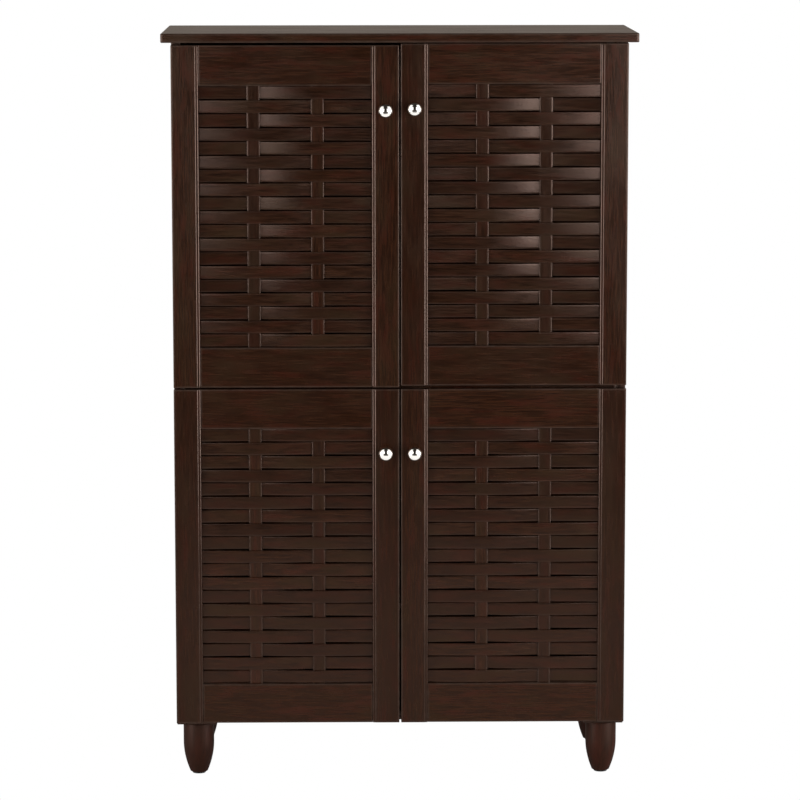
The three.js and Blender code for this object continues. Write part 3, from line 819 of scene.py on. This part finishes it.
def knob_profile(depth):
    """A domed head on a waisted neck and a small flange, as (radius, distance from the tip)."""
    turn = np.linspace(0, math.pi / 2, 16)
    dome = np.stack([KNOB_RADIUS * np.sin(turn), DOME_DEPTH * (1 - np.cos(turn) ** 1.15)], 1)
    back = math.pi / 2 * np.linspace(0, 1, 10)[1:]
    under = np.stack([KNOB_RADIUS - (KNOB_RADIUS - NECK_RADIUS) * np.sin(back) ** 1.3,
                      DOME_DEPTH + (NECK_END - DOME_DEPTH) * (1 - np.cos(back))], 1)
    flare = np.linspace(0, 1, 6)[1:]
    base = np.stack([NECK_RADIUS + FLANGE_FLARE * flare ** 2,
                     NECK_END + (depth - FLANGE_THICKNESS - NECK_END) * flare], 1)
    return np.concatenate([dome, under, base, [[FLANGE_RADIUS, depth], [0, depth]]])


def make_knob(tag):
    name = f"knob_{tag}"
    low, high = span(name)
    centre = ((low[0] + high[0]) / 2, low[1], (low[2] + high[2]) / 2)
    points, quads, caps = lathe(knob_profile(high[1] - low[1]), KNOB_SIDES, centre, (0, 1, 0))
    make_piece(f"pull_{tag}", points, quads, caps, NICKEL, f"door_{tag}", "polished_nickel", [name],
               crease=50.0)


def make_door(tag, first_row_behind):
    (x0, y0, z0), (x1, y1, z1) = span(f"hinge_stile_{tag}")
    side = -1 if x0 < 0 else 1
    outer = x0 if side < 0 else x1
    stile = make_stile(f"stile_hinge_side_{tag}", f"hinge_stile_{tag}", outer, -side, y0, z0, z1, tag)
    bore_cup_holes(stile, tag, outer, -side)
    low, high = span(f"meeting_stile_{tag}")
    meeting = high[0] if side < 0 else low[0]
    make_stile(f"stile_meeting_side_{tag}", f"meeting_stile_{tag}", meeting, side, y0, z0, z1, tag)
    make_rail(f"rail_top_{tag}", f"top_rail_{tag}", tag, -1)
    make_rail(f"rail_bottom_{tag}", f"bottom_rail_{tag}", tag, 1)
    make_slats(tag, first_row_behind)
    make_knob(tag)


# ---- Hardware ----

SCREW_RINGS = 14
SCREW_SIDES = 32
PAN_FALL = 0.45
RECESS_DEPTH = 0.55
RECESS_FLOOR = 0.45
SLOT_HALF_WIDTH = 0.2
SLOT_REACH = 0.72
SLOT_SOFTNESS = 0.08


def screw_head(centre, axis, radius, height):
    """A pan head with a cross recess: H(1 - PAN_FALL r^4) less the recess, on a polar grid.

    The recess is RECESS_DEPTH H deep where the smaller of |a| and |b| is below SLOT_HALF_WIDTH and r
    is below SLOT_REACH, and it fades out over SLOT_SOFTNESS."""
    rings, sides = SCREW_RINGS, SCREW_SIDES
    normal = np.array(axis, float)
    first = np.cross(normal, [0, 0, 1.0])
    second = np.cross(normal, first)
    r = np.linspace(0, 1, rings)[1:, None]
    angle = np.linspace(0, 2 * math.pi, sides, endpoint=False)[None]
    a, b = r * np.cos(angle), r * np.sin(angle)
    slot = np.clip((SLOT_HALF_WIDTH - np.minimum(abs(a), abs(b))) / SLOT_SOFTNESS, 0, 1)
    slot = slot * np.clip((SLOT_REACH - r) / SLOT_SOFTNESS, 0, 1)
    rise = height * (1 - PAN_FALL * r ** 4) - height * RECESS_DEPTH * slot
    points = radius * (a[..., None] * first + b[..., None] * second) + rise[..., None] * normal
    rim = radius * (np.cos(angle[0])[:, None] * first + np.sin(angle[0])[:, None] * second)
    ends = np.array([height * RECESS_FLOOR * normal, 0 * normal])
    vertices = np.concatenate([points.reshape(-1, 3), rim, ends]) + np.asarray(centre, float)
    quads = tube_quads(rings, sides)
    step = np.arange(sides)
    following = (step + 1) % sides
    top, bottom = rings * sides, rings * sides + 1
    fan_top = np.stack([np.full(sides, top), following, step], 1)
    fan_bottom = np.stack([np.full(sides, bottom), step + top - sides, following + top - sides], 1)
    return vertices, quads, np.concatenate([fan_top, fan_bottom]).tolist()


# Where a hinge plate's screws are: Y, distance from the wall, and height above the hinge's middle.
PLATE_SCREWS = ((-81.0, 2.4, 17.0), (-81.0, 2.4, -17.0), (-68.0, 16.5, 0.0), (-92.0, 16.5, 0.0))
# Screw heads: radius and height.
PLATE_SCREW = (3.6, 1.6)
CUP_SCREW = (3.4, 1.0)
KNOB_SCREW = (4.5, 1.3)
CUP_SCREW_SPREAD = 24.0
CUP_SCREW_SINK = 0.2
WING_SHIFT = 5.0
WING_HALF_WIDTH = 5.5
WING_START = 17.5
WING_END = 29.5
WING_GAP = 0.05
WING_HEIGHT = 0.9
WING_EDGE = 0.2


def make_hardware(tag):
    """Hinge arms, levers, cups and screws of one door."""
    for end in ("bottom", "top"):
        for name in (f"hinge_arm_{tag}_{end}", f"hinge_cup_{tag}_{end}"):
            set_steel(name)
    set_steel(f"hinge_lever_{tag}")
    make_lower_lever(tag)
    side = -1 if "left" in tag else 1
    on_case, on_door = [], []
    for end in ("bottom", "top"):
        low, high = span(f"hinge_arm_{tag}_{end}")
        wall = low[0] if side < 0 else high[0]
        z = (low[2] + high[2]) / 2
        for y, lift, dz in PLATE_SCREWS:
            on_case.append(screw_head((wall - side * lift, y, z + dz), (-side, 0, 0), *PLATE_SCREW))
        low, high = span(f"hinge_cup_{tag}_{end}")
        x, z = (low[0] + high[0]) / 2, (low[2] + high[2]) / 2
        for dz in (-CUP_SCREW_SPREAD, CUP_SCREW_SPREAD):
            place = (x - side * WING_SHIFT, high[1] - CUP_SCREW_SINK, z + dz)
            on_door.append(screw_head(place, (0, 1, 0), *CUP_SCREW))
    low, high = span(f"knob_{tag}")
    back = span(f"hinge_stile_{tag}")[1][1]
    place = ((low[0] + high[0]) / 2, back, (low[2] + high[2]) / 2)
    on_door.append(screw_head(place, (0, 1, 0), *KNOB_SCREW))
    make_piece(f"screws_on_case_{tag}", *several(on_case), STEEL, "case", "plated_steel")
    make_piece(f"screws_on_door_{tag}", *several(on_door), STEEL, f"door_{tag}", "plated_steel")
    for end in ("bottom", "top"):
        make_cup_plate(tag, end, side)


def make_cup_plate(tag, end, side):
    """The cup's two wings, above and below it, with round outer ends and proud of the door's back."""
    low, high = span(f"hinge_cup_{tag}_{end}")
    x, z = (low[0] + high[0]) / 2, (low[2] + high[2]) / 2
    back = span(f"hinge_stile_{tag}")[1][1]
    for sign in (-1, 1):
        inner, outer = z + sign * WING_START, z + sign * WING_END
        near, far = x - side * WING_SHIFT - WING_HALF_WIDTH, x - side * WING_SHIFT + WING_HALF_WIDTH
        section, edge = outline([(near, inner, 1.0), (far, inner, 1.0), (far, outer, 4.5),
                                 (near, outer, 4.5)])
        bar(f"cup_wing_{tag}_{end}_{'low' if sign < 0 else 'high'}", section, edge, (0, 2, 1),
            back + WING_GAP, back + WING_HEIGHT, WING_EDGE, STEEL, f"door_{tag}", "plated_steel")


def set_steel(name):
    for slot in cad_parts[name].material_slots:
        slot.material = STEEL


def make_lower_lever(tag):
    """The lower hinge's lever: the upper one's shape, lowered by the distance between the hinges."""
    drop = (span(f"hinge_arm_{tag}_top")[0] - span(f"hinge_arm_{tag}_bottom")[0])[2]
    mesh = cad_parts[f"hinge_lever_{tag}"].data.copy()
    count = len(mesh.vertices)
    places = np.empty(count * 3)
    mesh.vertices.foreach_get("co", places)
    places = places.reshape(-1, 3) - (0, 0, drop * MM)
    mesh.vertices.foreach_set("co", places.ravel())
    mesh.materials.clear()
    mesh.materials.append(STEEL)
    lever = bpy.data.objects.new(f"lower_lever_{tag}", mesh)
    bpy.context.scene.collection.objects.link(lever)
    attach(lever, f"hinge_lever_{tag}")


# Profiles as (radius, height) pairs.
PIN_PROFILE = ((0, 0), (3.4, 0), (3.4, 1.2), (2.4, 1.4), (2.4, 8.5), (1.8, 9.3), (0, 9.5))
BUMPER_PROFILE = ((0, 0), (3.8, 0), (3.8, 0.5), (3.0, 1.05), (1.6, 1.3), (0, 1.35))
NAIL_PROFILE = ((0, -0.4), (2.1, -0.4), (2.1, -0.12), (1.7, -0.02), (0, 0.0))
PIN_SIDES = 24
BUMPER_SIDES = 28
NAIL_SIDES = 16
PIN_FROM_EDGE = 35.0
PIN_FROM_WALL = 0.4
PIN_DROP = 3.5
BUMPER_FROM_BOTTOM = 9.0
BUMPER_FROM_TOP = 4.6
NAILS_EACH_SIDE = 7
NAIL_FROM_END = 18
NAIL_FROM_MIDDLE = 363.0


def make_shelf_pins():
    """Four pins under each adjustable shelf: a collar at the side panel and a stem with a soft end."""
    for name in ("shelf_lower_1", "shelf_lower_2", "shelf_upper_1", "shelf_upper_2"):
        low, high = span(name)
        pins = []
        for side in (-1, 1):
            for y in (low[1] + PIN_FROM_EDGE, high[1] - PIN_FROM_EDGE):
                wall = (low[0] if side < 0 else high[0]) + side * PIN_FROM_WALL
                pins.append(lathe(PIN_PROFILE, PIN_SIDES, (wall, y, low[2] - PIN_DROP), (-side, 0, 0)))
        make_piece(f"pins_{name}", *several(pins), STEEL, "case", "plated_steel")


def make_bumpers(tag):
    """A small domed nylon bumper on the back of the meeting stile, where the door meets a board."""
    low, high = span(f"meeting_stile_{tag}")
    x = (low[0] + high[0]) / 2
    heights = [low[2] + BUMPER_FROM_BOTTOM]
    if "lower" in tag:
        heights.append(high[2] - BUMPER_FROM_TOP)
    domes = [lathe(BUMPER_PROFILE, BUMPER_SIDES, (x, high[1], z), (0, 1, 0)) for z in heights]
    make_piece(f"bumpers_{tag}", *several(domes), NYLON, f"door_{tag}", "plated_steel")


def make_back_nails():
    """Flat nail heads down both sides of each back panel."""
    for name in ("back_panel_lower", "back_panel_upper"):
        low, high = span(name)
        nails = []
        for side in (-1, 1):
            for z in np.linspace(low[2] + NAIL_FROM_END, high[2] - NAIL_FROM_END, NAILS_EACH_SIDE):
                place = (side * NAIL_FROM_MIDDLE, high[1], z)
                nails.append(lathe(NAIL_PROFILE, NAIL_SIDES, place, (0, 1, 0)))
        make_piece(f"nails_{name}", *several(nails), STEEL, "case", "plated_steel")


# ---- Studio ----

FLOOR_HALF = 12.0
WORLD_SIDES = 0.7
WORLD_BEHIND = 0.24
WORLD_BASE = 0.03
WARM_WHITE = rgb(1.0, 0.86, 0.74)
# Name, place, aim, width and height in metres, and power in watts.
SOFTBOXES = (
    ("softbox_left", (-1.21, -3.0, 1.4), (0, 0, 1.4), 0.76, 1.6, 9.5),
    ("softbox_right", (1.24, -3.0, 1.4), (0, 0, 1.4), 0.76, 1.6, 15.0),
    ("side_card_left", (-2.4, -1.5, 0.6), (0, 0, 0.6), 1.2, 1.2, 23.0),
    ("side_card_right", (2.4, -1.5, 0.6), (0, 0, 0.6), 1.2, 1.2, 27.0),
    ("softbox_behind", (0.0, 3.0, 0.55), (0, 0, 0.6), 4.0, 0.9, 15.0))
KNOB_CARDS = (
    ("knob_card_left", (-1.3, -1.2, 1.4), (0, -0.15, 1.4), 1.5, 3.2, 17.0),
    ("knob_card_right", (1.3, -1.2, 1.4), (0, -0.15, 1.4), 1.5, 3.2, 19.0),
    ("knob_card_low", (0.0, -0.9, 0.04), (0, -0.9, 2.0), 2.4, 1.3, 9.0))


def make_floor():
    """A floor that is pure white to the camera, and to everything else a grey that darkens outwards."""
    half = FLOOR_HALF
    corners = [(-half, -half, 0), (half, -half, 0), (half, half, 0), (-half, half, 0)]
    mesh = bpy.data.meshes.new("floor")
    mesh.from_pydata(corners, [], [(0, 1, 2, 3)])
    material, tree, shader = new_material("floor_white")
    tree.nodes.remove(shader)
    seen = node(tree, "ShaderNodeLightPath").outputs["Is Camera Ray"]
    white = node(tree, "ShaderNodeEmission", Color=rgb(1, 1, 1), Strength=1.0).outputs[0]
    place = node(tree, "ShaderNodeTexCoord").outputs["Object"]
    away = node(tree, "ShaderNodeVectorMath", {"operation": "LENGTH"}, _0=place).outputs["Value"]
    grey = map_range(tree, away, 0.5, 3.2, 0.65, 0.27)
    soft = node(tree, "ShaderNodeBsdfDiffuse", Color=grey).outputs[0]
    both = node(tree, "ShaderNodeMixShader", _0=seen, _1=soft, _2=white).outputs[0]
    tree.links.new(both, tree.nodes["Material Output"].inputs["Surface"])
    mesh.materials.append(material)
    floor = bpy.data.objects.new("floor", mesh)
    bpy.context.scene.collection.objects.link(floor)


def make_world():
    """White to the camera. To everything else, bright at the sides, dim behind, almost dark in front."""
    world = bpy.data.worlds.new("studio")
    bpy.context.scene.world = world
    world.use_nodes = True
    tree = world.node_tree
    tree.nodes.clear()
    direction = node(tree, "ShaderNodeTexCoord").outputs["Generated"]
    way = node(tree, "ShaderNodeSeparateXYZ", Vector=direction).outputs
    sideways = map_range(tree, math_node(tree, "ABSOLUTE", way["X"]), 0.66, 0.9, 0.0, WORLD_SIDES)
    behind = map_range(tree, way["Y"], -0.1, 0.5, 0.0, WORLD_BEHIND)
    level = math_node(tree, "ADD", math_node(tree, "MAXIMUM", sideways, behind), WORLD_BASE)
    seen = node(tree, "ShaderNodeLightPath").outputs["Is Camera Ray"]
    level = math_node(tree, "MULTIPLY_ADD", math_node(tree, "SUBTRACT", 1.0, level), seen, level)
    colour = mix_colour(tree, seen, WARM_WHITE, rgb(1, 1, 1))
    light = node(tree, "ShaderNodeBackground", Color=colour, Strength=level).outputs[0]
    node(tree, "ShaderNodeOutputWorld", Surface=light)


def make_softbox(name, place, aim, width, height, power):
    data = bpy.data.lights.new(name, "AREA")
    data.shape = "RECTANGLE"
    data.size = width
    data.size_y = height
    data.energy = power
    light = bpy.data.objects.new(name, data)
    bpy.context.scene.collection.objects.link(light)
    place, aim = np.array(place), np.array(aim)
    back = (place - aim) / np.linalg.norm(place - aim)
    right = np.cross([0, 0, 1.0] if abs(back[2]) < 0.9 else [0, 1.0, 0], back)
    right /= np.linalg.norm(right)
    up = np.cross(back, right)
    matrix = Matrix.Identity(4)
    for axis, direction in enumerate((right, up, back)):
        for row in range(3):
            matrix[row][axis] = direction[row]
    matrix.translation = place
    light.matrix_world = matrix
    return light


def make_studio():
    make_floor()
    make_world()
    for softbox in SOFTBOXES:
        make_softbox(*softbox)
    make_knob_cards()
    bpy.context.scene.view_settings.view_transform = "Standard"


def make_knob_cards():
    """White cards at both sides of the knobs and below them, that light only the knobs."""
    lit = bpy.data.collections.new("knobs_lit")
    for tag in FIRST_ROW_BEHIND:
        lit.objects.link(bpy.data.objects[f"pull_{tag}"])
    for card in KNOB_CARDS:
        make_softbox(*card).light_linking.receiver_collection = lit


# ---- Assembly ----

FIRST_ROW_BEHIND = {"upper_left": True, "upper_right": True, "lower_left": True, "lower_right": False}

make_case()
make_feet()
for tag, first_row_behind in FIRST_ROW_BEHIND.items():
    make_door(tag, first_row_behind)
    make_hardware(tag)
    make_bumpers(tag)
make_shelf_pins()
make_back_nails()
make_studio()
